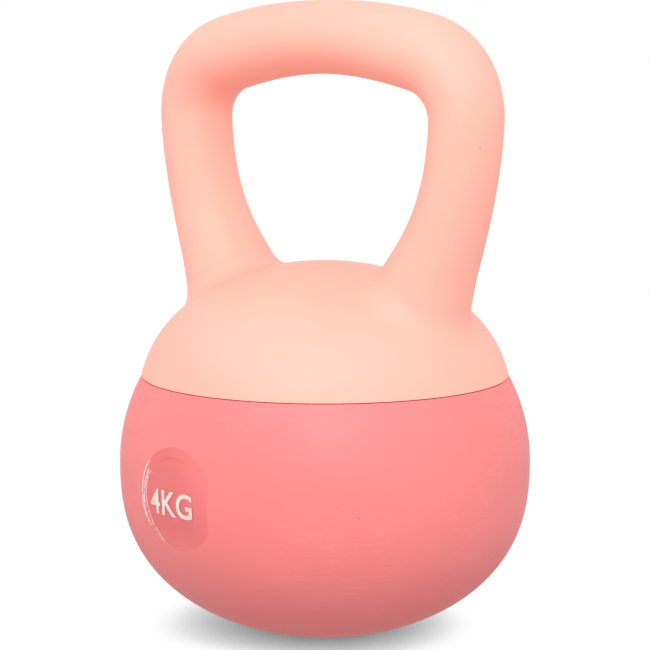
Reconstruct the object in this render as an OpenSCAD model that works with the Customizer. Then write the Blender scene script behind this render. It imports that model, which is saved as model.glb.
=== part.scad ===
// Soft kettlebell, 4 kg: a sand-filled ball with a flexible two-tone skin and
// a padded handle on a steel core. Millimetres, +Z up, origin on the floor
// under the ball's centre. The handle lies in the XZ plane and the front,
// which carries the weight label, faces -Y.

/* [Ball] */
// Radius of the ball where it is widest
ball_r = 80; // [70:0.5:90]
// Height of the widest point above the floor
equator_z = 66; // [62:0.5:67]
// Depth below the widest point at which the bowl would close if it had no foot
lower_h = 68; // [67.5:0.5:70]
// Fullness of the bowl, where 2 is an ellipse
lower_bulge = 2.5; // [2:0.05:3]
// Height above the widest point at which the bowl's shoulder would close
shoulder_h = 74; // [60:1:90]
// Height of the colour seam above the widest point
seam_rise = 33.5; // [30:0.5:38]
// Depth of the dome's own centre below the seam
dome_drop = 12.3; // [8:0.1:16]
// Height of the dome above its own centre
dome_h = 56.2; // [52:0.2:60]
// Fullness of the dome, where 2 is an ellipse
dome_bulge = 2.25; // [2:0.05:2.6]

/* [Handle] */
// Height of the grip bar's centreline above the floor
bar_z = 229.5; // [225:0.5:235]
// Bend radius of the gently arched grip bar
bar_bend_r = 180; // [150:5:220]
// Angle from the middle of the bar to its end
bar_angle = 15; // [12:0.5:18]
// Bend radius of the two top corners
corner_bend_r = 25.5; // [24:0.5:28]
// Heading of the centreline where a corner ends, 90 being straight down
corner_angle = 92.5; // [90:0.5:95]
// Bend radius of the legs
leg_bend_r = 130; // [110:5:150]
// Heading of the centreline where a leg stops bending
leg_angle = 115; // [110:0.5:118]
// Length of the straight root that runs into the dome
root_len = 30; // [26:1:32]
// Thickness of the bar at its middle
bar_t = 28; // [26:0.5:32]
// Thickness where the bar meets the corner
shoulder_t = 29.4; // [26:0.2:32]
// Thickness where the corner meets the leg
corner_t = 26; // [26:0.5:30]
// Thickness of the leg at the end of its root
root_t = 46; // [40:1:48]
// Front-to-back depth over thickness at the bar's middle
bar_depth_ratio = 1.27; // [1.1:0.01:1.3]
// Front-to-back depth over thickness at the root
root_depth_ratio = 1.03; // [1:0.01:1.1]

/* [Skins] */
// Wall of both moulded skins
wall_t = 3.5; // [3:0.1:4]
// Chamfer along the two edges that meet at the seam
seam_chamfer = 0.4; // [0.2:0.1:0.8]
// Wall of the lap band inside the seam
band_t = 1.6; // [1.2:0.2:2]
// Distance that the lap band reaches past the seam on each side
band_reach = 11; // [8:0.5:12]

/* [Inner frame] */
// Outer diameter of the steel core tube
core_d = 16; // [14:0.5:16]
// Wall of the core tube
core_wall = 1.5; // [1:0.25:2]
// Bend radius that brings each end of the core upright
core_return_r = 40; // [35:1:45]
// Straight run of the core before that bend
core_straight = 6; // [4:0.5:8]
// Radius of the anchor plate
plate_r = 64; // [62:0.5:65]
// Thickness of the anchor plate
plate_t = 3; // [2:0.5:4]
// Nominal diameter of the two anchor bolts
bolt_d = 8; // [6:1:8]

/* [Filling] */
// Wall of the sack that holds the sand
sack_t = 0.8; // [0.5:0.1:1.2]
// Height of the sack's flat top
sack_top_z = 86; // [80:1:87]
// Empty height between the sand and the sack's top
sand_drop = 2; // [1:0.5:10]
// Outer radius of the filler neck's tube
neck_r = 11; // [10:0.5:12]
// Height of the filler neck's top
neck_top_z = 22; // [18:1:26]

/* [Weight label] */
// Diameter of the clear film disc
label_d = 39; // [30:1:45]
// Thickness of the film
label_t = 0.25; // [0.2:0.05:0.5]
// Height of the disc's centre
label_z = 61.5; // [40:0.5:70]
// Turn of the disc about Z from the front, positive towards +X
label_turn = -6; // [-45:1:45]

/* [Hidden] */

peach = [0.98, 0.79, 0.72];
pink = [0.98, 0.59, 0.6];
fit_gap = 0.05;
free_gap = 0.3;
round_fn = 96;
mesh_fn = 64;
skin_sides = 28;
foam_sides = 24;
core_sides = 20;
seam_z = equator_z + seam_rise;
dome_z = seam_z - dome_drop;

// Ball profile, as a radius for each height. An inset gives the same profile
// that far inside the outer surface.
function lower_radius(z, inset = 0) = (ball_r - inset)
    * sqrt(1 - pow((equator_z - z) / (lower_h - inset), lower_bulge));
function shoulder_radius(z, inset = 0) = (ball_r - inset)
    * sqrt(1 - pow((z - equator_z) / (shoulder_h - inset), 2));
function bowl_radius(z, inset = 0) =
    z < equator_z ? lower_radius(z, inset) : shoulder_radius(z, inset);
dome_r = shoulder_radius(seam_z) / sqrt(1 - pow(dome_drop / dome_h, dome_bulge));
function dome_radius(z, inset = 0) = (dome_r - inset)
    * sqrt(max(0, 1 - pow((z - dome_z) / (dome_h - inset), dome_bulge)));

// Outlines up the bowl and the dome, with heights that crowd together where
// the wall lies flat.
bowl_steps = 20;
dome_steps = 14;
function bowl_outline(low, high, inset = 0) =
    let (depth = lower_h - inset, first = asin((equator_z - low) / depth))
    concat(
        [for (i = [0:bowl_steps - 1])
            let (z = equator_z - depth * sin(first * (1 - i / bowl_steps)))
            [lower_radius(z, inset), z]],
        [for (i = [0:bowl_steps / 2])
            let (z = equator_z + (high - equator_z) * i / (bowl_steps / 2))
            [shoulder_radius(z, inset), z]]);
function dome_outline(low, inset = 0) =
    let (height = dome_h - inset, first = asin((low - dome_z) / height))
    [for (i = [0:dome_steps])
        let (z = dome_z + height * sin(first + (90 - first) * i / dome_steps))
        [dome_radius(z, inset), z]];

module revolve(outline, fn = round_fn) {
    rotate_extrude($fn = fn) polygon(outline);
}

// Handle centreline in the XZ plane: an arched bar, a tight corner, a leg that
// bends slowly inwards and a straight root. The heading is 0 along +X and 90
// straight down. Each arc is held by its centre.
function arc_centre(p, heading, r) = p - r * [sin(heading), cos(heading)];
function arc_point(c, heading, r) = c + r * [sin(heading), cos(heading)];
bar_mid = [0, bar_z];
bar_c = arc_centre(bar_mid, 0, bar_bend_r);
bar_end = arc_point(bar_c, bar_angle, bar_bend_r);
corner_c = arc_centre(bar_end, bar_angle, corner_bend_r);
corner_end = arc_point(corner_c, corner_angle, corner_bend_r);
leg_c = arc_centre(corner_end, corner_angle, leg_bend_r);
leg_end = arc_point(leg_c, leg_angle, leg_bend_r);
root_dir = [cos(leg_angle), -sin(leg_angle)];
root_end = leg_end + root_len * root_dir;

// Length of each stretch, used to ease the section from one to the next.
function arc_len(r, turn) = r * turn * PI / 180;
bar_len = arc_len(bar_bend_r, bar_angle);
corner_len = arc_len(corner_bend_r, corner_angle - bar_angle);
leg_len = arc_len(leg_bend_r, leg_angle - corner_angle);
handle_len = bar_len + corner_len + leg_len + root_len;

// A station is [point, heading, distance from the bar's middle]. A bend gives
// its stations but its last, and a negative radius bends the other way.
function bend(c, r, from, to, steps, s = 0) =
    [for (i = [0:steps - 1])
        let (turn = (to - from) * i / steps)
        [arc_point(c, from + turn, r), from + turn, s + arc_len(r, turn)]];

bar_steps = 6;
corner_steps = 8;
leg_steps = 7;
root_steps = 6;
SKIN_STATIONS = concat(
    bend(bar_c, bar_bend_r, 0, bar_angle, bar_steps),
    bend(corner_c, corner_bend_r, bar_angle, corner_angle, corner_steps, bar_len),
    bend(leg_c, leg_bend_r, corner_angle, leg_angle, leg_steps, bar_len + corner_len),
    [for (i = [0:root_steps])
        let (run = root_len * i / root_steps)
        [leg_end + run * root_dir, leg_angle, handle_len - root_len + run]]);

// Half thickness: eased along the bar and the corner, then a cubic flare.
function ease(t) = t * t * (3 - 2 * t);
function mix(a, b, t) = a + (b - a) * t;
function half_thickness(s) =
    s < bar_len ? mix(bar_t, shoulder_t, ease(s / bar_len)) / 2
    : s < bar_len + corner_len
        ? mix(shoulder_t, corner_t, ease((s - bar_len) / corner_len)) / 2
    : mix(corner_t, root_t, pow((s - bar_len - corner_len) / (leg_len + root_len), 3)) / 2;
function half_depth(s) = half_thickness(s)
    * mix(bar_depth_ratio, root_depth_ratio, pow(s / handle_len, 2));

// A ring of points round a station, with half axes across and along Y.
function ring(station, across, along, sides) =
    let (p = station[0], h = station[1])
    [for (k = [0:sides - 1])
        let (a = 360 * k / sides, u = across * cos(a))
        [p.x + u * sin(h), along * sin(a), p.y + u * cos(h)]];

// A solid through a row of rings, one convex link at a time.
module chain(rings) {
    for (i = [0:len(rings) - 2])
        hull() polyhedron(
            points = concat(rings[i], rings[i + 1]),
            faces = [[for (k = [0:2 * len(rings[0]) - 1]) k]]);
}

module mirrored_pair() {
    children();
    mirror([1, 0, 0]) children();
}

// The handle's outer form, or that form drawn in by an inset.
module handle_form(inset, sides) {
    mirrored_pair() chain([for (station = SKIN_STATIONS)
        let (s = station[2])
        ring(station, half_thickness(s) - inset, half_depth(s) - inset, sides)]);
}

// Steel core path: the handle's own arcs, then a return bend that brings each
// end upright over its bolt.
core_low = leg_end + core_straight * root_dir;
return_c = core_low + core_return_r * [sin(leg_angle), cos(leg_angle)];
core_top = return_c - [core_return_r, 0];
core_x = core_top.x;
plate_top_z = seam_z + 4.5;
plate_z = plate_top_z - plate_t;
function core_stations(low) = concat(
    bend(bar_c, bar_bend_r, 0, bar_angle, bar_steps / 2),
    bend(corner_c, corner_bend_r, bar_angle, corner_angle, corner_steps),
    bend(leg_c, leg_bend_r, corner_angle, leg_angle, 3),
    [[leg_end, leg_angle]],
    bend(return_c, -core_return_r, leg_angle, 90, 4),
    [[core_top, 90], [[core_x, low], 90]]);
module core_form(d, low) {
    mirrored_pair() chain([for (station = core_stations(low))
        ring(station, d / 2, d / 2, core_sides)]);
}

module tube_section(outer, inner) {
    difference() {
        circle(d = outer, $fn = round_fn);
        circle(d = inner, $fn = round_fn);
    }
}

// Peach skin: dome and handle moulded as one hollow piece.
module upper_shell() {
    edge_r = dome_radius(seam_z);
    color(peach) difference() {
        union() {
            revolve(concat(
                [[0, seam_z], [edge_r - seam_chamfer, seam_z]],
                dome_outline(seam_z + seam_chamfer)), mesh_fn);
            handle_form(0, skin_sides);
        }
        revolve(concat([[0, seam_z - 1]], dome_outline(seam_z - 1, wall_t)), mesh_fn);
        handle_form(wall_t, skin_sides);
    }
}

// Pink skin: the bowl, cut flat at the foot and open for the filler neck.
collar_r = 12;
module lower_shell() {
    edge_r = bowl_radius(seam_z);
    color(pink) difference() {
        revolve(concat([[0, 0]], bowl_outline(0, seam_z - seam_chamfer),
            [[edge_r - seam_chamfer, seam_z], [0, seam_z]]));
        revolve(concat([[0, wall_t]], bowl_outline(wall_t, seam_z + 1, wall_t),
            [[0, seam_z + 1]]));
        translate([0, 0, -1]) cylinder(r = collar_r + fit_gap, h = wall_t + 2, $fn = round_fn);
    }
}

// Lap band bonded behind the seam, with a ledge that carries the anchor plate.
ledge_r = 60;
ledge_t = 3;
band_gap = 0.2;
module seam_band() {
    low = seam_z - band_reach;
    high = seam_z + band_reach;
    steps = 6;
    back = [for (i = [0:steps]) let (z = low + band_reach * i / steps)
        [min(shoulder_radius(z, wall_t), dome_radius(max(z, seam_z), wall_t)) - band_gap, z]];
    front = [for (i = [1:steps]) let (z = seam_z + band_reach * i / steps)
        [dome_radius(z, wall_t) - band_gap, z]];
    outer = concat(back, front);
    inner = [for (i = [len(outer) - 1:-1:0]) outer[i] - [band_t, 0]];
    weld = 0.5;
    wall_r = dome_radius(plate_z, wall_t) - band_gap - weld;
    color("lightcoral") union() {
        revolve(concat(outer, inner));
        translate([0, 0, plate_z - ledge_t]) difference() {
            cylinder(r = wall_r, h = ledge_t, $fn = round_fn);
            translate([0, 0, -1]) cylinder(r = ledge_r, h = ledge_t + 2, $fn = round_fn);
        }
    }
}

// Bent steel tube that stiffens the handle.
module handle_core() {
    color("lightsteelblue") difference() {
        core_form(core_d, plate_top_z);
        core_form(core_d - 2 * core_wall, plate_top_z - 1);
    }
}

// Threaded plug pressed into each upright end of the core.
plug_len = 16;
module core_end_plugs() {
    color("silver") mirrored_pair() translate([core_x, 0, plate_top_z])
        linear_extrude(plug_len)
            tube_section(core_d - 2 * core_wall - 4 * fit_gap, bolt_d + 2 * fit_gap);
}

// Foam that fills the handle between its skin and the core, down to its root.
module handle_foam() {
    color("ivory") difference() {
        handle_form(wall_t + free_gap, foam_sides);
        core_form(core_d + 2 * free_gap, plate_top_z);
    }
}

// Steel plate under the dome that both ends of the core are bolted to.
hole_gap = 0.5;
module anchor_plate() {
    color("slategray") difference() {
        translate([0, 0, plate_z]) cylinder(r = plate_r, h = plate_t, $fn = round_fn);
        mirrored_pair() translate([core_x, 0, plate_z - 1])
            cylinder(d = bolt_d + 2 * hole_gap, h = plate_t + 2, $fn = round_fn);
    }
}

// Hexagon bolts from below, each with a flat washer.
washer_d = 16;
washer_t = 1.6;
head_flats = 13;
head_h = 5.3;
bolt_grip = 20;
module anchor_bolts() {
    color("gainsboro") mirrored_pair()
        translate([core_x, 0, plate_z - washer_t - head_h]) {
            cylinder(d = head_flats / cos(30), h = head_h, $fn = 6);
            cylinder(d = bolt_d, h = head_h + bolt_grip, $fn = round_fn);
        }
}

module anchor_washers() {
    color("darkgray") mirrored_pair() translate([core_x, 0, plate_z - washer_t])
        linear_extrude(washer_t) tube_section(washer_d, bolt_d + 2 * fit_gap);
}

// Firm foam block between the plate and the dome, bored for the core's ends and
// pocketed for the handle's flared roots.
module dome_pad() {
    pocket_r = root_t * root_depth_ratio / 2 - wall_t + 1;
    over_band_z = seam_z + band_reach + free_gap;
    base_r = dome_radius(over_band_z, wall_t) - band_gap - band_t - free_gap;
    color("beige") difference() {
        revolve(concat([[0, plate_top_z + fit_gap], [base_r, plate_top_z + fit_gap],
            [base_r, over_band_z]], dome_outline(over_band_z, wall_t + free_gap)));
        mirrored_pair() {
            translate([core_x, 0, seam_z]) cylinder(d = core_d + 2 * free_gap, h = dome_h,
                $fn = round_fn);
            translate([root_end.x, 0, root_end.y]) rotate([0, leg_angle - 90, 0])
                translate([0, 0, -free_gap]) cylinder(r = pocket_r, h = 2 * root_len,
                    $fn = round_fn);
        }
    }
}

// Foam disc over the sack, pocketed for the bolt heads.
module bolt_guard_pad() {
    low = sack_top_z + free_gap;
    pocket_z = plate_z - washer_t - head_h - free_gap;
    color("dimgray") difference() {
        translate([0, 0, low]) cylinder(r = ledge_r - free_gap, h = plate_z - free_gap - low,
            $fn = round_fn);
        mirrored_pair() translate([core_x, 0, pocket_z])
            cylinder(d = washer_d + 2, h = plate_z - pocket_z, $fn = round_fn);
    }
}

// Sack that holds the sand. Its mouth folds over the filler neck's top and
// hangs down the bore as a twisted tail, closed by a tie.
sack_gap = 0.4;
flange_r = 17;
flange_t = 2;
sack_floor_z = wall_t + flange_t + free_gap;
tail_r = 3.5;
tail_end_z = 14;
sack_shoulder = 5;
function sack_wall(inset) =
    let (gap = wall_t + sack_gap + inset)
    bowl_outline(sack_floor_z + inset, sack_top_z - sack_shoulder, gap);
function sack_outline(inset) =
    let (wall = sack_wall(inset), sleeve = neck_r + free_gap + inset,
        rim_z = neck_top_z + free_gap + inset)
    concat(
        inset > 0 ? [[0, rim_z]]
            : [[0, tail_end_z], [tail_r, tail_end_z], [tail_r, rim_z]],
        [[sleeve, rim_z], [sleeve, sack_floor_z + inset]],
        wall,
        [[wall[len(wall) - 1].x - sack_shoulder, sack_top_z - inset],
            [0, sack_top_z - inset]]);

module sand_sack() {
    color("wheat") difference() {
        revolve(sack_outline(0));
        revolve(sack_outline(sack_t));
    }
}

tie_t = 1.3;
tie_w = 2.5;
module sack_tie() {
    color("black") translate([0, 0, tail_end_z + 2]) linear_extrude(tie_w)
        tube_section(2 * (tail_r + fit_gap + tie_t), 2 * (tail_r + fit_gap));
}

module iron_sand() {
    color("darkslategray") difference() {
        revolve(sack_outline(sack_t + fit_gap));
        translate([0, 0, sack_top_z - sand_drop])
            cylinder(r = ball_r, h = sand_drop, $fn = round_fn);
    }
}

// Rigid bush in the foot, bonded into the bowl by its flange.
recess = 1;
neck_bore_r = 9;
cap_t = 2;
cap_r = 10.5;
module filler_neck() {
    color("brown") rotate_extrude($fn = round_fn) polygon([
        [cap_r, recess], [collar_r, recess], [collar_r, wall_t], [flange_r, wall_t],
        [flange_r, wall_t + flange_t], [neck_r, wall_t + flange_t], [neck_r, neck_top_z],
        [neck_bore_r, neck_top_z], [neck_bore_r, recess + cap_t], [cap_r, recess + cap_t]]);
}

// Ribbed plug that closes the neck, its head just short of the foot's plane.
rib_count = 3;
rib_t = 1.2;
rib_pitch = 2.8;
slot_w = 2;
slot_depth = 1;
module fill_plug() {
    shank_r = neck_bore_r - 0.8;
    shank_top = 12.5;
    color("firebrick") difference() {
        union() {
            translate([0, 0, recess]) cylinder(r = cap_r - 0.1, h = cap_t, $fn = round_fn);
            translate([0, 0, recess]) cylinder(r = shank_r, h = shank_top - recess,
                $fn = round_fn);
            for (i = [0:rib_count - 1])
                translate([0, 0, recess + cap_t + 1 + i * rib_pitch])
                    cylinder(r = neck_bore_r - fit_gap, h = rib_t, $fn = round_fn);
        }
        translate([-slot_w / 2, -cap_r / 2, recess - 1]) cube([slot_w, cap_r, slot_depth + 1]);
    }
}

// Clear film disc stuck to the bowl, following its surface.
module weight_label() {
    reach = label_d / 2 + 4;
    slope = bowl_radius(label_z + 0.5) - bowl_radius(label_z - 0.5);
    steps = 12;
    inside = [for (i = [0:steps]) let (z = label_z - reach + 2 * reach * i / steps)
        [bowl_radius(z) + fit_gap, z]];
    outside = [for (i = [steps:-1:0]) inside[i] + [label_t, 0]];
    color([0.98, 0.6, 0.6, 0.6]) rotate([0, 0, label_turn]) intersection() {
        rotate([0, 0, 180]) revolve(concat(inside, outside));
        translate([0, -bowl_radius(label_z), label_z]) rotate([90 + atan(slope), 0, 0])
            translate([0, 0, -label_d / 2]) cylinder(d = label_d, h = label_d, $fn = round_fn);
    }
}

upper_shell();
lower_shell();
seam_band();
handle_core();
core_end_plugs();
handle_foam();
anchor_plate();
anchor_bolts();
anchor_washers();
dome_pad();
bolt_guard_pad();
sand_sack();
sack_tie();
iron_sand();
filler_neck();
fill_plug();
weight_label();
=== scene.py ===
import bpy, math
import numpy as np
from mathutils import Matrix, Vector, noise


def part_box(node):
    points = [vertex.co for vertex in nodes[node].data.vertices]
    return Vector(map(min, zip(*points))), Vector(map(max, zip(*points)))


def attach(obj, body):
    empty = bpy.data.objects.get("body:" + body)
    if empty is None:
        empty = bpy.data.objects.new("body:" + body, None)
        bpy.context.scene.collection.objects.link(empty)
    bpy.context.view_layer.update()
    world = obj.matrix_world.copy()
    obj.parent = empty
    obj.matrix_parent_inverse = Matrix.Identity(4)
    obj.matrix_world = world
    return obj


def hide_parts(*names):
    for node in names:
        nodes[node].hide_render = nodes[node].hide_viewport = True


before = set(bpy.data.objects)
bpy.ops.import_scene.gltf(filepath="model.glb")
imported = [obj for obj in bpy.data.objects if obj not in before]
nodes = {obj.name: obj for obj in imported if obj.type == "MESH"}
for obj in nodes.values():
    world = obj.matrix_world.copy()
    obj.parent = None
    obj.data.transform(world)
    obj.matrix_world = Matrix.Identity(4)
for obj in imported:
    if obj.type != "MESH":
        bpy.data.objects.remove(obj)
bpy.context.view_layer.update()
print("frame loaded:", len(nodes), "nodes")

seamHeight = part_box("lower_shell")[1].z
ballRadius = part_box("lower_shell")[1].x
mm = 0.001


def clearSelection():
    bpy.ops.object.select_all(action="DESELECT")


def pick(*pieces):
    clearSelection()
    for piece in pieces:
        piece.select_set(True)
    bpy.context.view_layer.objects.active = pieces[0]


def editing(piece, mode="VERT"):
    pick(piece)
    bpy.ops.object.mode_set(mode="EDIT")
    bpy.ops.mesh.select_mode(type=mode)


def doneEditing():
    bpy.ops.object.mode_set(mode="OBJECT")


def applyModifier(piece, kind, **settings):
    modifier = piece.modifiers.new(kind.title(), kind)
    for name, value in settings.items():
        setattr(modifier, name, value)
    pick(piece)
    bpy.ops.object.modifier_apply(modifier=modifier.name)


def settle(piece):
    # the place goes into the mesh, so the object itself sits at the origin
    pick(piece)
    bpy.ops.object.transform_apply(location=True, rotation=True, scale=True)


def facesOutward(piece, merge=1e-6):
    editing(piece)
    bpy.ops.mesh.select_all(action="SELECT")
    bpy.ops.mesh.remove_doubles(threshold=merge)
    bpy.ops.mesh.normals_make_consistent(inside=False)
    doneEditing()


def smoothFaces(piece, angle=35):
    pick(piece)
    bpy.ops.object.shade_smooth_by_angle(angle=math.radians(angle))


def readPoints(piece):
    points = np.empty(len(piece.data.vertices) * 3)
    piece.data.vertices.foreach_get("co", points)
    return points.reshape(-1, 3)


def writePoints(piece, points):
    piece.data.vertices.foreach_set("co", np.ascontiguousarray(points).ravel())
    piece.data.update()


def movePoints(piece, rule):
    # rule gives each point's new place from its old one and its normal
    normals = np.empty(len(piece.data.vertices) * 3)
    piece.data.vertex_normals.foreach_get("vector", normals)
    moved = [rule(Vector(point), Vector(normal))
             for point, normal in zip(readPoints(piece), normals.reshape(-1, 3))]
    writePoints(piece, np.array([tuple(point) for point in moved]))


def outlinePiece(name, points):
    # one point, extruded along the outline in the XZ plane, ready to spin
    clearSelection()
    bpy.ops.mesh.primitive_plane_add(size=mm, location=(points[0][0], 0, points[0][1]))
    piece = bpy.context.object
    piece.name = name
    settle(piece)
    editing(piece)
    bpy.ops.mesh.select_all(action="SELECT")
    bpy.ops.mesh.merge(type="CENTER")
    for (x, z), (nextX, nextZ) in zip(points, points[1:]):
        step = (nextX - x, 0, nextZ - z)
        bpy.ops.mesh.extrude_region_move(TRANSFORM_OT_translate={"value": step})
    doneEditing()
    return piece


def spinRound(piece, steps):
    editing(piece)
    bpy.ops.mesh.select_all(action="SELECT")
    bpy.ops.mesh.spin(steps=steps, angle=2 * math.pi, center=(0, 0, 0), axis=(0, 0, 1))
    doneEditing()
    facesOutward(piece)


def finishPiece(piece, slotName, material, *standsFor):
    piece.data.materials.clear()
    piece.data.materials.append(material)
    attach(piece, "root")
    if standsFor:
        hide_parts(*standsFor)
    return piece


class Wire:
    # wraps a socket, so that an expression adds its Math nodes
    def __init__(self, shop, socket):
        self.shop, self.socket = shop, socket

    def maths(self, operation, *values):
        return self.shop.add("ShaderNodeMath", {"operation": operation}, dict(enumerate(values)))

    def __add__(self, other): return self.maths("ADD", self, other)
    def __radd__(self, other): return self.maths("ADD", other, self)
    def __sub__(self, other): return self.maths("SUBTRACT", self, other)
    def __rsub__(self, other): return self.maths("SUBTRACT", other, self)
    def __mul__(self, other): return self.maths("MULTIPLY", self, other)
    def __rmul__(self, other): return self.maths("MULTIPLY", other, self)

    def between(self, low, high):
        # 0 below low, 1 above high, smooth in between
        return self.shop.add("ShaderNodeMapRange", {"interpolation_type": "SMOOTHSTEP"},
                             {"Value": self, "From Min": low, "From Max": high})


class Finish:
    # one material, or the world, and its nodes
    def __init__(self, owner, shaderName="Principled BSDF", **fixed):
        ready = isinstance(owner, bpy.types.ID)
        self.material = owner if ready else bpy.data.materials.new(owner)
        self.material.use_nodes = True
        self.tree = self.material.node_tree
        self.shader = self.tree.nodes[shaderName]
        for key, value in fixed.items():
            self.set(key, value)

    def set(self, key, value):
        # a socket's name, with underscores for its spaces
        socket = self.shader.inputs[key.replace("_", " ")]
        if isinstance(value, Wire):
            self.tree.links.new(value.socket, socket)
        else:
            socket.default_value = value

    def add(self, kind, settings=None, inputs=None, output=0):
        node = self.tree.nodes.new(kind)
        for key, value in (settings or {}).items():
            setattr(node, key, value)
        for key, value in (inputs or {}).items():
            if isinstance(value, Wire):
                self.tree.links.new(value.socket, node.inputs[key])
            else:
                node.inputs[key].default_value = value
        return Wire(self, node.outputs[output])

    def place(self, stretch=(1, 1, 1), shift=(0, 0, 0)):
        spot = self.add("ShaderNodeTexCoord", output=3)
        return self.add("ShaderNodeMapping", {}, {
            "Vector": spot, "Scale": stretch, "Location": shift})

    def grain(self, scale, detail=3.0, rough=0.55, **placing):
        return self.add("ShaderNodeTexNoise", {}, {
            "Vector": self.place(**placing), "Scale": scale, "Detail": detail, "Roughness": rough})

    def cells(self, scale, **placing):
        return self.add("ShaderNodeTexVoronoi", {}, {
            "Vector": self.place(**placing), "Scale": scale})

    def blend(self, amount, first, second):
        return self.add("ShaderNodeMix", {"data_type": "RGBA"}, {0: amount, 6: first, 7: second}, 2)

    def bump(self, height, distance, strength=1.0):
        self.set("Normal", self.add("ShaderNodeBump", {}, {
            "Height": height, "Distance": distance, "Strength": strength}))


def rgba(red, green, blue):
    # a screen colour, 0 to 255, as the shader's linear colour
    def linear(value):
        value /= 255
        return value / 12.92 if value <= 0.04045 else ((value + 0.055) / 1.055) ** 2.4
    return (linear(red), linear(green), linear(blue), 1.0)


ball = dict(
    equatorHeight=66 * mm, lowerDepth=68 * mm, lowerFullness=2.5,
    shoulderRise=74 * mm, domeDrop=12.3 * mm, domeRise=56.2 * mm, domeFullness=2.25,
    wall=3.5 * mm, collarRadius=12.05 * mm, footRounding=1.6 * mm,
    seamRoll=0.22 * mm, seamGap=0.13 * mm, spinSteps=192,
)
domeCentre = seamHeight - ball["domeDrop"]


def bowlRadius(z, inset=0.0):
    rise = z - ball["equatorHeight"]
    if rise < 0:
        fall = min(1.0, -rise / (ball["lowerDepth"] - inset))
        return (ballRadius - inset) * math.sqrt(1 - fall ** ball["lowerFullness"])
    return (ballRadius - inset) * math.sqrt(1 - (rise / (ball["shoulderRise"] - inset)) ** 2)


domeRadius = bowlRadius(seamHeight) / math.sqrt(
    1 - (ball["domeDrop"] / ball["domeRise"]) ** ball["domeFullness"])


def domeOutline(count, low, inset=0.0):
    # points from a height near the seam up to the crown
    rise = ball["domeRise"] - inset
    first = math.asin((low - domeCentre) / rise)
    turns = [first + (math.pi / 2 - first) * i / count for i in range(count + 1)]
    return [((domeRadius - inset) * math.sqrt(max(0.0, 1 - math.sin(t) ** ball["domeFullness"])),
             domeCentre + rise * math.sin(t)) for t in turns]


def bowlOutline(count, low, high, inset=0.0):
    depth = ball["lowerDepth"] - inset
    first = math.asin((ball["equatorHeight"] - low) / depth)
    lower = [ball["equatorHeight"] - depth * math.sin(first * (1 - i / count))
             for i in range(count)]
    upper = [ball["equatorHeight"] + (high - ball["equatorHeight"]) * i / (count // 2)
             for i in range(count // 2 + 1)]
    return [(bowlRadius(z, inset), z) for z in lower + upper]


handle = dict(
    barHeight=229.5 * mm, barBend=180 * mm, barAngle=15,
    cornerBend=25.5 * mm, cornerAngle=92.5, legBend=130 * mm, legAngle=115, rootLength=30 * mm,
    barThick=28 * mm, shoulderThick=29.4 * mm, cornerThick=26 * mm, rootThick=46 * mm,
    barDepth=1.27, rootDepth=1.03,
)


def handleStations(count):
    # places along one half of the handle: x, z, heading, half thickness, half depth
    bends = [(handle["barBend"], 0, handle["barAngle"]),
             (handle["cornerBend"], handle["barAngle"], handle["cornerAngle"]),
             (handle["legBend"], handle["cornerAngle"], handle["legAngle"])]
    lengths = [r * math.radians(b - a) for r, a, b in bends] + [handle["rootLength"]]
    whole = sum(lengths)
    rows = []
    for i in range(count + 1):
        s = whole * i / count
        spot, heading, left = Vector((0, handle["barHeight"])), 0.0, s
        for (radius, start, stop), length in zip(bends, lengths):
            run = min(left, length)
            turn = math.radians(start) + run / radius
            before = Vector((math.sin(math.radians(start)), math.cos(math.radians(start))))
            spot = spot + radius * (Vector((math.sin(turn), math.cos(turn))) - before)
            heading, left = turn, left - run
            if left <= 0:
                break
        if left > 0:
            spot = spot + left * Vector((math.cos(heading), -math.sin(heading)))
        rows.append((spot.x, spot.y, heading, *handleSection(s, lengths)))
    return np.array(rows), whole


def handleSection(s, lengths):
    bar, corner = lengths[0], lengths[0] + lengths[1]
    whole = sum(lengths)
    ease = lambda t: t * t * (3 - 2 * t)
    mix = lambda a, b, t: a + (b - a) * t
    if s < bar:
        thick = mix(handle["barThick"], handle["shoulderThick"], ease(s / bar))
    elif s < corner:
        share = ease((s - bar) / (corner - bar))
        thick = mix(handle["shoulderThick"], handle["cornerThick"], share)
    else:
        share = ((s - corner) / (whole - corner)) ** 3
        thick = mix(handle["cornerThick"], handle["rootThick"], share)
    depth = mix(handle["barDepth"], handle["rootDepth"], (s / whole) ** 2)
    return thick / 2, thick / 2 * depth


peachSkin = dict(
    voxel=1.4 * mm, blend=7 * mm, ringSides=40, rings=90, domeSteps=40,
    belowSeam=8 * mm, wall=ball["wall"], stations=700, domeSpin=96, gapSamples=500,
    passes=(4, 5), rimRows=(0, 0.12, 0.3, 0.6, 1.0, 1.6),  # rim rows in rolls above the edge
)


def domeGap(points):
    # how far each point is outside the dome, and the way out
    line = np.array(domeOutline(peachSkin["gapSamples"], seamHeight - peachSkin["belowSeam"]))
    along = np.gradient(line, axis=0)
    out = np.stack([along[:, 1], -along[:, 0]], 1)
    out /= np.linalg.norm(out, axis=1)[:, None]
    radial = np.hypot(points[:, 0], points[:, 1])
    flat = np.stack([radial, points[:, 2]], 1)
    near = nearestRow(flat, line)
    away = ((flat - line[near]) * out[near]).sum(1)
    side = points[:, :2] / np.maximum(radial, 1e-9)[:, None]
    way = np.concatenate([side * out[near][:, :1], out[near][:, 1:]], 1)
    return away, way


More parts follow.
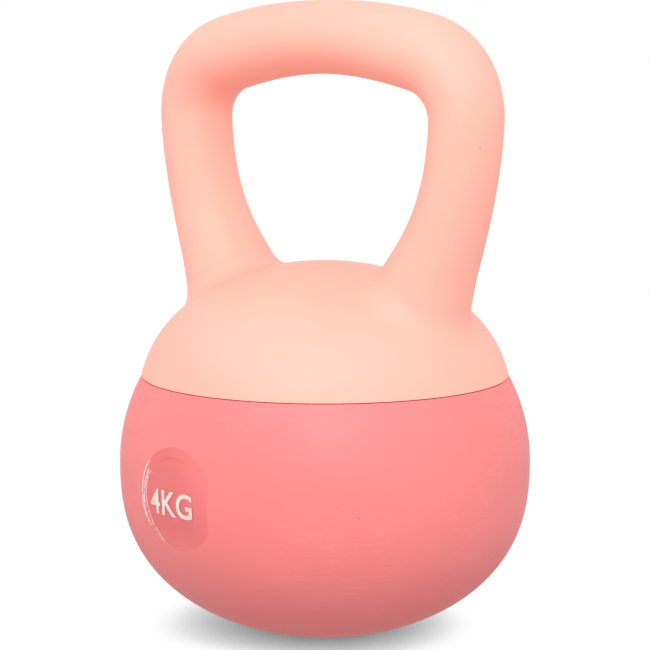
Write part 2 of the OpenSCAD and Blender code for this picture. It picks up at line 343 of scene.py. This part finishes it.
def handleGap(points, stations):
    # the same for the handle, whose section is an ellipse
    folded = points.copy()
    side = np.where(points[:, 0] < 0, -1.0, 1.0)
    folded[:, 0] *= side
    near = nearestRow(folded[:, [0, 2]], stations[:, :2])
    x, z, heading, thick, depth = stations[near].T
    up = np.stack([np.sin(heading), np.cos(heading)], 1)
    across = (folded[:, 0] - x) * up[:, 0] + (folded[:, 2] - z) * up[:, 1]
    size = np.hypot(across / thick, folded[:, 1] / depth)
    slope = np.stack([across / thick ** 2, folded[:, 1] / depth ** 2], 1)
    steep = np.maximum(np.linalg.norm(slope, axis=1), 1e-9)
    slope /= steep[:, None]
    away = (size - 1) * size / steep
    way = np.stack([slope[:, 0] * up[:, 0] * side, slope[:, 1], slope[:, 0] * up[:, 1]], 1)
    return away, way


def nearestRow(flat, line):
    # a few thousand points at a time, to keep the memory small
    batch = 4000
    picked = np.empty(len(flat), int)
    for start in range(0, len(flat), batch):
        part = flat[start:start + batch]
        picked[start:start + batch] = ((part[:, None] - line[None]) ** 2).sum(2).argmin(1)
    return picked


def pullToSkin(points, stations, passes):
    # moves points onto the dome and the handle, with a soft fillet where the two meet
    for _ in range(passes):
        dome, domeWay = domeGap(points)
        grip, gripWay = handleGap(points, stations)
        share = np.clip(0.5 + 0.5 * (grip - dome) / peachSkin["blend"], 0, 1)
        gap = grip * (1 - share) + dome * share - peachSkin["blend"] * share * (1 - share)
        way = gripWay * (1 - share[:, None]) + domeWay * share[:, None]
        way /= np.maximum((way ** 2).sum(1), 0.2)[:, None]
        points = points - way * gap[:, None]
    return points


def makePeachSkin():
    look = peachSkin
    stations, length = handleStations(look["stations"])
    # a straight rod of rings, extruded one by one, then bent along the handle's line
    bpy.ops.mesh.primitive_circle_add(vertices=look["ringSides"], radius=1, fill_type="NGON",
                                      location=(-length, 0, 0), rotation=(0, math.pi / 2, 0))
    grip = bpy.context.object
    settle(grip)
    editing(grip, "FACE")
    bpy.ops.mesh.select_all(action="SELECT")
    step = 2 * length / look["rings"]
    for _ in range(look["rings"]):
        bpy.ops.mesh.extrude_region_move(TRANSFORM_OT_translate={"value": (step, 0, 0)})
    doneEditing()
    points = readPoints(grip)
    row = np.abs(points[:, 0]) / length * (len(stations) - 1)
    x, z, heading, thick, depth = (np.interp(row, range(len(stations)), column)
                                   for column in stations.T)
    side = np.sign(points[:, 0])
    bent = np.stack([side * (x + points[:, 2] * thick * np.sin(heading)), points[:, 1] * depth,
                     z + points[:, 2] * thick * np.cos(heading)], 1)
    writePoints(grip, bent)
    facesOutward(grip)

    low = seamHeight - look["belowSeam"]
    dome = outlinePiece("dome", [(0, low)] + domeOutline(look["domeSteps"], low))
    spinRound(dome, look["domeSpin"])

    pick(dome, grip)
    bpy.ops.object.join()
    skin = bpy.context.object
    for passes in look["passes"]:
        applyModifier(skin, "REMESH", mode="VOXEL", voxel_size=look["voxel"], adaptivity=0)
        points = readPoints(skin)
        above = points[:, 2] > low + 3 * look["voxel"]
        points[above] = pullToSkin(points[above], stations, passes)
        writePoints(skin, points)
    # cut level at the seam, leaving the skin open below, with close rows for the rolled rim
    editing(skin)
    edge = seamHeight + ball["seamGap"]
    for row in look["rimRows"]:
        bpy.ops.mesh.select_all(action="SELECT")
        bpy.ops.mesh.bisect(plane_co=(0, 0, edge + row * ball["seamRoll"]), plane_no=(0, 0, 1),
                            clear_inner=row == 0)
    doneEditing()
    rollRim(skin, edge, 1)
    applyModifier(skin, "SOLIDIFY", thickness=look["wall"], offset=-1)
    facesOutward(skin)
    smoothFaces(skin, 60)
    skin.name = "peachSkin"
    return skin


def rollRim(piece, height, side):
    # the skin's edge turns in towards the seam over its last fraction of a millimetre
    points = readPoints(piece)
    rise = side * (points[:, 2] - height)
    roll = ball["seamRoll"]
    close = np.clip(1 - rise / roll, 0, 1)
    radial = np.hypot(points[:, 0], points[:, 1])
    shrink = 1 - roll * (1 - np.sqrt(1 - close ** 2)) / np.maximum(radial, 1e-6)
    points[:, :2] *= shrink[:, None]
    writePoints(piece, points)


def makePinkSkin():
    look = ball
    roll = look["seamRoll"]
    lip = seamHeight - look["seamGap"]
    outer = bowlOutline(56, 0.0, lip - roll)
    edge = outer[-1][0]
    rim = [(edge - roll * (1 - math.cos(t)), lip - roll + roll * math.sin(t))
           for t in (math.radians(a) for a in (22, 45, 68, 90))]
    inner = bowlOutline(40, look["wall"], lip, look["wall"])[::-1]
    foot = outer[0][0]
    soft = look["footRounding"]
    collar = look["collarRadius"]
    sole = [(collar, look["wall"]), (collar, 0.4 * mm), (collar + 0.4 * mm, 0.0),
            (foot - soft, 0.0)]
    heel = [(foot - soft * 0.35, 0.12 * soft), (foot + 0.3 * mm, 0.42 * soft)]
    body = [p for p in outer if p[1] > 0.9 * soft]
    skin = outlinePiece("pinkSkin", sole + heel + body + rim + inner + [(collar, look["wall"])])
    spinRound(skin, look["spinSteps"])
    smoothFaces(skin, 40)
    return skin


label = dict(
    turn=math.radians(-6), height=61.5 * mm, radius=19.4 * mm, trimmedAt=16.5 * mm, lift=0.1 * mm,
    film=0.14 * mm, sides=240, coarseRings=12, coarseStep=1.2 * mm, fineRings=24, ridge=0.3 * mm,
    edgeCurl=0.12 * mm, edgeWidth=0.7 * mm, layingSteps=12, tintSlant=0.35,
    # how a crease wanders, in mm, and how many degrees its waves, ends and gaps take
    wander=0.22, wanderEvery=9, endsOver=9, gapEvery=3.2, gapDepth=2.4,
    tintFades=(3 * mm, 17 * mm), tintLeft=0.3, lowFades=(-18 * mm, -9 * mm), lowLeft=0.35,
    # each crease: its angles round the disc, its radius in mm at each, and how it looks; the
    # lighter creases carry a painted glint, near white, standing in for the light they catch
    creases=[
        dict(angles=(136, 150, 175, 205, 222), radii=(18.9, 19.1, 19.1, 19.0, 18.8),
             width=0.22, pucker=0.7, glintPaint=0.75, broken=0.8),
        dict(angles=(142, 165, 185, 207, 233, 254), radii=(15.8, 16.3, 16.5, 16.3, 17.0, 18.6),
             width=0.2, pucker=0.7, glintPaint=0.5, broken=0.7),
        dict(angles=(143, 165, 180, 200), radii=(17.2, 17.6, 18.0, 18.1),
             width=0.2, pucker=0.6, glintPaint=0.85, broken=1.0),
        dict(angles=(148, 160, 176), radii=(16.6, 16.9, 17.3),
             width=0.2, pucker=0.5, glintPaint=0.8, broken=1.0),
        dict(angles=(196, 215, 240, 262), radii=(18.2, 18.1, 18.5, 19.0),
             width=0.2, pucker=0.5, glintPaint=0.3, broken=0.5),
        dict(angles=(60, 80, 105, 138), radii=(18.6, 18.8, 18.8, 18.7),
             width=0.3, pucker=0.05, darken=0.3, broken=0.4),
        dict(angles=(60, 80, 105, 128), radii=(15.3, 15.6, 15.5, 15.1),
             width=0.3, pucker=0.05, darken=0.55, broken=0.4),
    ],
)


def bowlSlope(z):
    return (bowlRadius(z + mm) - bowlRadius(z - mm)) / (2 * mm)


def ontoBall(u, v, lift):
    # u runs round the ball and v up it, both from the label's centre
    z, steps = label["height"], label["layingSteps"]
    for _ in range(steps):
        z += v / steps / math.hypot(1, bowlSlope(z))
    radius, slope = bowlRadius(z), bowlSlope(z)
    turn = label["turn"] + u / radius
    out = Vector((math.sin(turn), -math.cos(turn), -slope)).normalized()
    return Vector((radius * math.sin(turn), -radius * math.cos(turn), z)) + out * lift


def creaseAt(turn, far):
    # how high the film puckers here, how much painted glint it carries, and how much darker its
    # tint is
    look = label
    pucker = white = dark = 0.0
    degrees = math.degrees(turn) % 360
    for crease in look["creases"]:
        first, last = crease["angles"][0], crease["angles"][-1]
        if not first < degrees < last:
            continue
        middle = np.interp(degrees, crease["angles"], crease["radii"])
        lane = crease["radii"][0]
        wave = noise.noise(Vector((degrees / look["wanderEvery"], lane * 3, 0.5)))
        wander = wave * look["wander"]
        across = math.exp(-((far / mm - middle - wander) / crease["width"]) ** 2)
        ends = min(1.0, (degrees - first) / look["endsOver"], (last - degrees) / look["endsOver"])
        patchy = max(0.0, noise.noise(Vector((degrees / look["gapEvery"], lane * 7, 2))))
        gaps = 1 - crease["broken"] * patchy * look["gapDepth"]
        pucker = max(pucker, across * ends * crease["pucker"])
        strength = across * ends * max(0.0, gaps)
        white = max(white, strength * crease.get("glintPaint", 0))
        dark = max(dark, strength * crease.get("darken", 0))
    return pucker, white, dark


def makeFilm():
    look = label
    clearSelection()
    bpy.ops.mesh.primitive_circle_add(vertices=look["sides"], radius=look["radius"],
                                      fill_type="NGON")
    film = bpy.context.object
    film.name = "labelFilm"
    editing(film, "FACE")
    bpy.ops.mesh.select_all(action="SELECT")
    coarse, fine = look["coarseRings"], look["fineRings"]
    fineStep = (look["radius"] - (coarse + 1) * look["coarseStep"]) / fine
    for step in [fineStep] * fine + [look["coarseStep"]] * coarse:
        bpy.ops.mesh.inset(thickness=step)
    bpy.ops.mesh.poke()
    bpy.ops.mesh.select_all(action="SELECT")
    bpy.ops.mesh.bisect(plane_co=(look["trimmedAt"], 0, 0), plane_no=(1, 0, 0), clear_outer=True)
    doneEditing()
    white = film.data.attributes.new("paintedGlint", "FLOAT", "POINT")
    tint = film.data.attributes.new("tint", "FLOAT", "POINT")
    for vertex in film.data.vertices:
        u, v = vertex.co.x, vertex.co.y
        far = math.hypot(u, v)
        pucker, whiteness, darkness = creaseAt(math.atan2(v, u), far)
        # the crease's painted glint goes into the film as a point attribute
        white.data[vertex.index].value = whiteness
        slanted = u + look["tintSlant"] * max(v, -6 * mm)
        sideways = np.interp(slanted, look["tintFades"], (1, look["tintLeft"]))
        lower = np.interp(v, look["lowFades"], (look["lowLeft"], 1))
        tint.data[vertex.index].value = sideways * lower + darkness
        rim = max(0.0, 1 - (look["radius"] - far) / look["edgeWidth"])
        lift = look["lift"] + pucker * look["ridge"] + rim * look["edgeCurl"]
        vertex.co = ontoBall(u, v, lift)
    applyModifier(film, "SOLIDIFY", thickness=look["film"], offset=1)
    facesOutward(film)
    smoothFaces(film, 50)
    return film


weightMark = dict(words="4KG", size=12.9 * mm, ink=0.05 * mm, above=0.26 * mm, shiftU=-1.7 * mm,
                  shiftV=-1.6 * mm, slice=0.7 * mm, squeeze=0.93, bold=0.24 * mm, spacing=1.05,
                  curveSteps=8)


def makeWeightMark():
    look = weightMark
    bpy.ops.object.text_add()
    mark = bpy.context.object
    mark.data.body = look["words"]
    mark.data.size = look["size"]
    mark.data.align_x = "CENTER"
    mark.data.align_y = "CENTER"
    mark.data.offset = look["bold"]
    mark.data.space_character = look["spacing"]
    mark.data.resolution_u = look["curveSteps"]
    pick(mark)
    bpy.ops.object.convert(target="MESH")
    mark = bpy.context.object
    mark.name = "weightMark"
    mark.scale = (look["squeeze"], 1, 1)
    settle(mark)
    # sliced both ways, so that the letters can follow the ball
    points = readPoints(mark)
    low, high = points.min(0), points.max(0)
    editing(mark)
    for axis, normal in ((0, (1, 0, 0)), (1, (0, 1, 0))):
        spot = low[axis] + look["slice"]
        while spot < high[axis]:
            bpy.ops.mesh.select_all(action="SELECT")
            cut = [0, 0, 0]
            cut[axis] = spot
            bpy.ops.mesh.bisect(plane_co=cut, plane_no=normal)
            spot += look["slice"]
    doneEditing()
    middle = (low + high) / 2
    for vertex in mark.data.vertices:
        vertex.co = ontoBall(vertex.co.x - middle[0] + look["shiftU"],
                             vertex.co.y - middle[1] + look["shiftV"], look["above"])
    facesOutward(mark)
    applyModifier(mark, "SOLIDIFY", thickness=look["ink"], offset=1)
    smoothFaces(mark, 30)
    return mark


def skinFinish(name, main, deep, pale, scuffed):
    # satin soft vinyl: slow drift of colour, level scuffs, a few specks, fine mould grain
    finish = Finish(name, Specular_IOR_Level=0.35)
    drift = finish.grain(16, detail=3).between(0.35, 0.68)
    broad = finish.grain(75, detail=5, rough=0.7, stretch=(1, 1, 13)).between(0.5, 0.72)
    narrow = finish.grain(210, detail=3, rough=0.6, stretch=(1, 1, 9),
                          shift=(0.4, 0.2, 0)).between(0.52, 0.7)
    patch = finish.grain(26, detail=2, shift=(0.3, 0.1, 0.7)).between(0.42, 0.66)
    fleck = 1 - finish.cells(80, shift=(0.13, 0.07, 0.21)).between(0.025, 0.05)
    rare = finish.grain(37, detail=1, shift=(1.7, 0.4, 0.2)).between(0.55, 0.6)
    scuffs = (0.6 * broad + 0.5 * narrow) * (0.2 + 0.8 * patch) * scuffed
    flecks = fleck * rare * 0.38
    colour = finish.blend(drift * 0.6, main, deep)
    colour = finish.blend(scuffs, colour, pale)
    colour = finish.blend(flecks, colour, rgba(150, 88, 78))
    finish.set("Base Color", colour)
    finish.set("Roughness", 0.52 + 0.08 * drift - 0.14 * scuffs)
    fine = finish.grain(1100, detail=2)
    finish.bump(fine * 0.6 - flecks + scuffs, 0.00003, 0.7)
    return finish.material


def plainFinish(name, main, deep, grainScale, grainDepth, roughness):
    finish = Finish(name)
    cloud = finish.grain(grainScale, detail=4)
    finish.set("Base Color", finish.blend(cloud.between(0.3, 0.7), main, deep))
    finish.set("Roughness", roughness + 0.12 * finish.grain(grainScale * 0.37, detail=2))
    finish.bump(cloud, grainDepth, 0.7)
    return finish.material


finishes = dict(
    peach=skinFinish("peachVinyl", rgba(255, 178, 160), rgba(255, 172, 156), rgba(255, 192, 178),
                     scuffed=0.25),
    pink=skinFinish("pinkVinyl", rgba(237, 128, 127), rgba(233, 120, 120), rgba(247, 160, 157),
                    scuffed=0.36),
)
print("finishes mixed")

peach = finishPiece(makePeachSkin(), "peach_skin", finishes["peach"], "upper_shell")
print("peach skin made:", len(peach.data.polygons), "faces")
pink = finishPiece(makePinkSkin(), "pink_skin", finishes["pink"], "lower_shell")
print("pink skin made:", len(pink.data.polygons), "faces")


def filmFinish():
    finish = Finish("clearFilm", Roughness=0.15)
    white = finish.add("ShaderNodeAttribute", {"attribute_name": "paintedGlint"}, {}, 2)
    tint = finish.add("ShaderNodeAttribute", {"attribute_name": "tint"}, {}, 2)
    # painted glint: along the creases the film turns near white and nearly opaque, in place of the
    # light they would catch
    finish.set("Base Color",
               finish.blend(white.between(0, 0.08), rgba(226, 96, 98), rgba(255, 236, 232)))
    finish.set("Alpha", 0.1 * tint + 0.93 * white)
    return finish.material


def inkFinish():
    finish = Finish("creamInk", Roughness=0.35)
    worn = finish.grain(420, detail=4).between(0.42, 0.62)
    finish.set("Base Color", finish.blend(worn, rgba(232, 217, 207), rgba(220, 194, 184)))
    return finish.material


finishPiece(makeFilm(), "clear_film", filmFinish(), "weight_label")
finishPiece(makeWeightMark(), "clear_film", inkFinish())
print("label made")


foamSleeve = dict(voxel=1.3 * mm, smoothing=6, pits=0.12 * mm, pitSize=2.2 * mm, fill=0.9)
foamBlocks = dict(voxel=1.5 * mm, smoothing=8, crown=0.5 * mm, fill=0.95)


def softCopy(nodeName, pieceName, look):
    # a soft piece that starts as its node's shape, remeshed so that its edges round off
    pick(nodes[nodeName])
    bpy.ops.object.duplicate()
    piece = bpy.context.object
    piece.parent = None
    piece.matrix_world = Matrix()
    piece.name = pieceName
    facesOutward(piece, 1e-5)
    applyModifier(piece, "REMESH", mode="VOXEL", voxel_size=look["voxel"], adaptivity=0)
    applyModifier(piece, "SMOOTH", factor=0.5, iterations=look["smoothing"])
    return piece


def pitFoam(piece, depth, scale):
    # open cells at the cut surface, pressed a little way in
    def pit(place, out):
        return place - out * depth * (0.5 + 0.5 * noise.noise(place / scale))

    movePoints(piece, pit)


def crownBlock(piece, rise):
    # a pressed foam block sinks at its edges and stands up in its middle
    points = readPoints(piece)
    low, high = points.min(0), points.max(0)
    middle, half = (low + high) / 2, (high - low) / 2

    def crown(place, out):
        far = min(1.0, math.hypot(place.x / half[0], place.y / half[1]))
        if abs(out.z) > 0.6:
            place.z -= math.copysign(rise * far ** 3, place.z - middle[2])
        return place

    movePoints(piece, crown)


sack = dict(
    gap=4.0 * mm, floorHeight=5.8 * mm, topHeight=85.8 * mm, shoulder=5 * mm, film=0.5 * mm,
    sleeveRadius=11.4 * mm, rimHeight=22.3 * mm, tailRadius=3.3 * mm, tailEnd=14 * mm, steps=120,
    rimSoft=0.8 * mm, pleats=13, pleatDepth=0.35 * mm, crinkle=0.5 * mm, fill=0.85,
)


def makeSack():
    look = sack
    high, low, rim, end = look["topHeight"], look["floorHeight"], look["rimHeight"], look["tailEnd"]
    slim, wide, shoulder = look["tailRadius"], look["sleeveRadius"], look["shoulder"]
    soft = look["rimSoft"]
    wall = bowlOutline(48, low, high - shoulder, look["gap"])
    edge = wall[-1][0]
    corner = [(edge - shoulder * (1 - math.cos(t)), high - shoulder * (1 - math.sin(t)))
              for t in (math.radians(a) for a in (20, 45, 70, 90))]
    top = [(edge * share, high)
           for share in (0.85, 0.75, 0.65, 0.55, 0.45, 0.35, 0.25, 0.15, 0.08)]
    tail = [(0, end), (slim * 0.6, end), (slim, end + 1 * mm), (slim, end + 5 * mm),
            (slim * 1.1, rim - soft), (slim * 1.6, rim), (wide - soft, rim),
            (wide, rim - soft), (wide, low + 4 * mm), (wide, low)]
    piece = outlinePiece("sandSack", tail + wall + corner + top + [(0, high)])
    spinRound(piece, look["steps"])
    applyModifier(piece, "SUBSURF", levels=1, render_levels=1)

    def crinkle(place, out):
        turn = math.atan2(place.y, place.x)
        spot = Vector((math.cos(turn) * 5, math.sin(turn) * 5, place.z / (30 * mm)))
        fold = abs(noise.noise(spot))
        ripple = 0.5 + 0.5 * noise.noise(place / (9 * mm))
        sunk = look["crinkle"] * (0.6 * (1 - min(1.0, fold * 4)) + 0.4 * ripple)
        if math.hypot(place.x, place.y) < wide + mm and place.z < rim + mm:
            sunk = look["pleatDepth"] * (0.5 + 0.5 * math.cos(look["pleats"] * turn))
        return place - out * sunk

    movePoints(piece, crinkle)
    facesOutward(piece)
    applyModifier(piece, "SOLIDIFY", thickness=look["film"], offset=-1)
    smoothFaces(piece, 60)
    return piece


def foamFinish(name, main, deep, cell, depth):
    finish = Finish(name, Roughness=0.95, Specular_IOR_Level=0.2)
    cells = finish.cells(1 / cell)
    cloud = finish.grain(40, detail=3).between(0.3, 0.75)
    pit = cells.between(0.08, 0.5)
    # the pits are painted darker: painted shade in the hollows of the cells, on top of their bump
    finish.set("Base Color", finish.blend(pit * 0.55 + cloud * 0.3, deep, main))
    finish.bump(pit, depth)
    return finish.material


def metalFinish(name, main, deep, roughness, brushed):
    finish = Finish(name, Metallic=1.0)
    streak = finish.grain(300, detail=3, stretch=brushed)
    spangle = finish.cells(260, shift=(0.2, 0.1, 0.4)).between(0.1, 0.8)
    finish.set("Base Color", finish.blend(streak * 0.6 + spangle * 0.4, deep, main))
    finish.set("Roughness", roughness + 0.15 * streak)
    finish.bump(streak, 0.00002, 0.5)
    return finish.material


def wovenFinish():
    # flat tapes over and under, round the sack and up it
    finish = Finish("wovenSack", Roughness=0.55)
    place = finish.place()
    x, y, z = (finish.add("ShaderNodeSeparateXYZ", {}, {"Vector": place}, i) for i in range(3))
    turn = y.maths("ARCTAN2", y, x) * 95
    rise = z * 1400
    over = turn.maths("SINE", turn) * rise.maths("SINE", rise)
    tape = over.between(-0.35, 0.35)
    cloud = finish.grain(60, detail=4)
    finish.set("Base Color",
               finish.blend(0.6 * tape + 0.4 * cloud, rgba(214, 208, 194), rgba(241, 238, 229)))
    finish.bump(over, 0.00015, 0.8)
    return finish.material


def sandFinish():
    finish = Finish("ironSand", Roughness=0.6)
    grains = finish.cells(900)
    tone = finish.grain(700, detail=1).between(0.4, 0.6)
    glint = finish.cells(640, shift=(0.3, 0.9, 0.1)).between(0.05, 0.02)
    colour = finish.blend(tone, rgba(44, 41, 40), rgba(84, 78, 74))
    finish.set("Base Color", finish.blend(glint, colour, rgba(150, 148, 146)))
    finish.set("Metallic", 0.3 + 0.7 * glint)
    finish.bump(1 - grains, 0.0006)
    return finish.material


def nodeFinishes():
    # a node keeps its shape and takes a maker's finish
    zinc = metalFinish("zincSteel", rgba(205, 209, 216), rgba(164, 168, 178), 0.3, (1, 1, 6))
    coreZinc = metalFinish("zincTube", rgba(200, 204, 212), rgba(158, 163, 174), 0.34, (6, 1, 1))
    return dict(
        seam_band=plainFinish("lapBand", rgba(226, 136, 132), rgba(206, 112, 110),
                              grainScale=500, grainDepth=0.00004, roughness=0.5),
        handle_core=coreZinc,
        core_end_plugs=plainFinish("endPlugPlastic", rgba(52, 50, 50), rgba(36, 35, 36),
                                   grainScale=700, grainDepth=0.00005, roughness=0.45),
        anchor_plate=plainFinish("blackPowderCoat", rgba(44, 44, 47), rgba(30, 30, 33),
                                 grainScale=1400, grainDepth=0.0001, roughness=0.42),
        anchor_bolts=zinc,
        anchor_washers=zinc,
        sack_tie=plainFinish("blackNylon", rgba(28, 28, 29), rgba(16, 16, 17),
                             grainScale=900, grainDepth=0.00003, roughness=0.28),
        iron_sand=sandFinish(),
        filler_neck=plainFinish("rigidPlastic", rgba(196, 98, 97), rgba(180, 84, 84),
                                grainScale=800, grainDepth=0.00003, roughness=0.4),
        fill_plug=plainFinish("plugPlastic", rgba(222, 128, 126), rgba(206, 110, 109),
                              grainScale=1500, grainDepth=0.00012, roughness=0.5),
    )


for nodeName, material in nodeFinishes().items():
    nodes[nodeName].data.materials.clear()
    nodes[nodeName].data.materials.append(material)

sleeve = softCopy("handle_foam", "foamSleeve", foamSleeve)
pitFoam(sleeve, foamSleeve["pits"], foamSleeve["pitSize"])
smoothFaces(sleeve, 60)
openCells = foamFinish("openCellFoam", rgba(240, 229, 202), rgba(190, 172, 138),
                       cell=1.6 * mm, depth=0.0005)
finishPiece(sleeve, "handle_foam", openCells, "handle_foam")
for nodeName, pieceName, slotName, main, deep in (
        ("dome_pad", "domePadding", "firm_foam", rgba(234, 228, 212), rgba(202, 194, 174)),
        ("bolt_guard_pad", "boltGuard", "guard_foam", rgba(72, 74, 78), rgba(46, 48, 52))):
    block = softCopy(nodeName, pieceName, foamBlocks)
    crownBlock(block, foamBlocks["crown"])
    smoothFaces(block, 60)
    closedCells = foamFinish(pieceName + "Foam", main, deep, cell=0.7 * mm, depth=0.0002)
    finishPiece(block, slotName, closedCells, nodeName)
bag = finishPiece(makeSack(), "sack_film", wovenFinish(), "sand_sack")
print("padding and sack made")


studio = dict(
    floorRadius=4.0, shadowDepth=0.19, shadowGain=2.3, shadowReach=0.03,
    shadowSide=(-1.0, -0.05, 0.0), shadowSpread=0.8, shadowFades=(-0.02, 0.045),
    skyGlow=1.06, floorGlow=0.42, floorFades=(-0.95, -0.02), towardsFront=(0.04, -0.09, 0.0),
    boxAzimuth=34, boxRise=38, boxAway=1.2, boxSize=0.6, boxPower=6.0, boxAim=0.12,
    floorDrop=0.2 * mm, floorSides=128,
)


def makeFloor():
    clearSelection()
    bpy.ops.mesh.primitive_circle_add(vertices=studio["floorSides"], radius=studio["floorRadius"],
                                      fill_type="NGON", location=(0, 0, -studio["floorDrop"]))
    floor = bpy.context.object
    floor.name = "studioFloor"
    # the floor glows, colourless and fully bright, with a painted shadow: less glow where the
    # object is close over it, and less on one side of it
    finish = Finish("paleFloor", Base_Color=(0, 0, 0, 1), Emission_Strength=1.0,
                    Specular_IOR_Level=0.0)
    openSky = finish.add("ShaderNodeAmbientOcclusion", {"samples": 16},
                         {"Distance": studio["shadowReach"]}, 1)
    side = finish.add("ShaderNodeVectorMath", {"operation": "DOT_PRODUCT"},
                      {0: finish.place(), 1: studio["shadowSide"]}, 1)
    side = side.between(*studio["shadowFades"])
    glow = studio["shadowDepth"] + (studio["shadowGain"] - studio["shadowSpread"] * side) * openSky
    finish.set("Emission Color", glow.maths("MINIMUM", glow, 1.0))
    under = finish.add("ShaderNodeNewGeometry", {}, {}, 6)  # seen from below, it is clear
    clear = finish.add("ShaderNodeBsdfTransparent")
    lit = Wire(finish, finish.shader.outputs[0])
    shown = finish.add("ShaderNodeMixShader", {}, {0: under, 1: lit, 2: clear})
    finish.tree.links.new(shown.socket, finish.tree.nodes["Material Output"].inputs[0])
    floor.data.materials.append(finish.material)
    floor.visible_diffuse = False  # the world gives the light from below, evenly
    floor.visible_glossy = False


def makeWorld():
    world = bpy.data.worlds.new("lightTent")
    bpy.context.scene.world = world
    sky = Finish(world, "Background", Color=(1, 1, 1, 1))
    way = sky.add("ShaderNodeTexCoord")
    front = sky.add("ShaderNodeVectorMath", {"operation": "DOT_PRODUCT"},
                    {0: way, 1: studio["towardsFront"]}, 1)
    height = sky.add("ShaderNodeSeparateXYZ", {}, {"Vector": way}, 2)
    risen = height.between(*studio["floorFades"])
    low, high = studio["floorGlow"], studio["skyGlow"]
    glow = low + (high - low) * risen + front
    seen = sky.add("ShaderNodeLightPath")
    sky.set("Strength", seen + (1 - seen) * glow)


def fromAngles(azimuth, rise):
    # the way to a place round the object, with azimuth 0 in front
    azimuth, rise = math.radians(azimuth), math.radians(rise)
    return Vector((math.sin(azimuth) * math.cos(rise), -math.cos(azimuth) * math.cos(rise),
                   math.sin(rise)))


def makeSoftbox():
    clearSelection()
    way = fromAngles(studio["boxAzimuth"], studio["boxRise"])
    aim = Vector((0, 0, studio["boxAim"]))
    bpy.ops.object.light_add(type="AREA", location=aim + way * studio["boxAway"],
                             rotation=way.to_track_quat("Z", "Y").to_euler())
    lamp = bpy.context.object
    lamp.name = "softbox"
    lamp.data.shape = "DISK"
    lamp.data.size = studio["boxSize"]
    lamp.data.energy = studio["boxPower"]


camera = dict(azimuth=38, elevation=7.56, distance=0.811, lens=115.5, aimHeight=0.1185)


def makeCamera():
    clearSelection()
    way = fromAngles(camera["azimuth"], camera["elevation"])
    aim = Vector((0, 0, camera["aimHeight"]))
    bpy.ops.object.camera_add(location=aim + way * camera["distance"],
                              rotation=way.to_track_quat("Z", "Y").to_euler())
    eye = bpy.context.object
    eye.data.lens = camera["lens"]
    bpy.context.scene.camera = eye


makeFloor()
makeWorld()
makeSoftbox()
makeCamera()
bpy.context.scene.view_settings.view_transform = "Standard"
print("studio set")
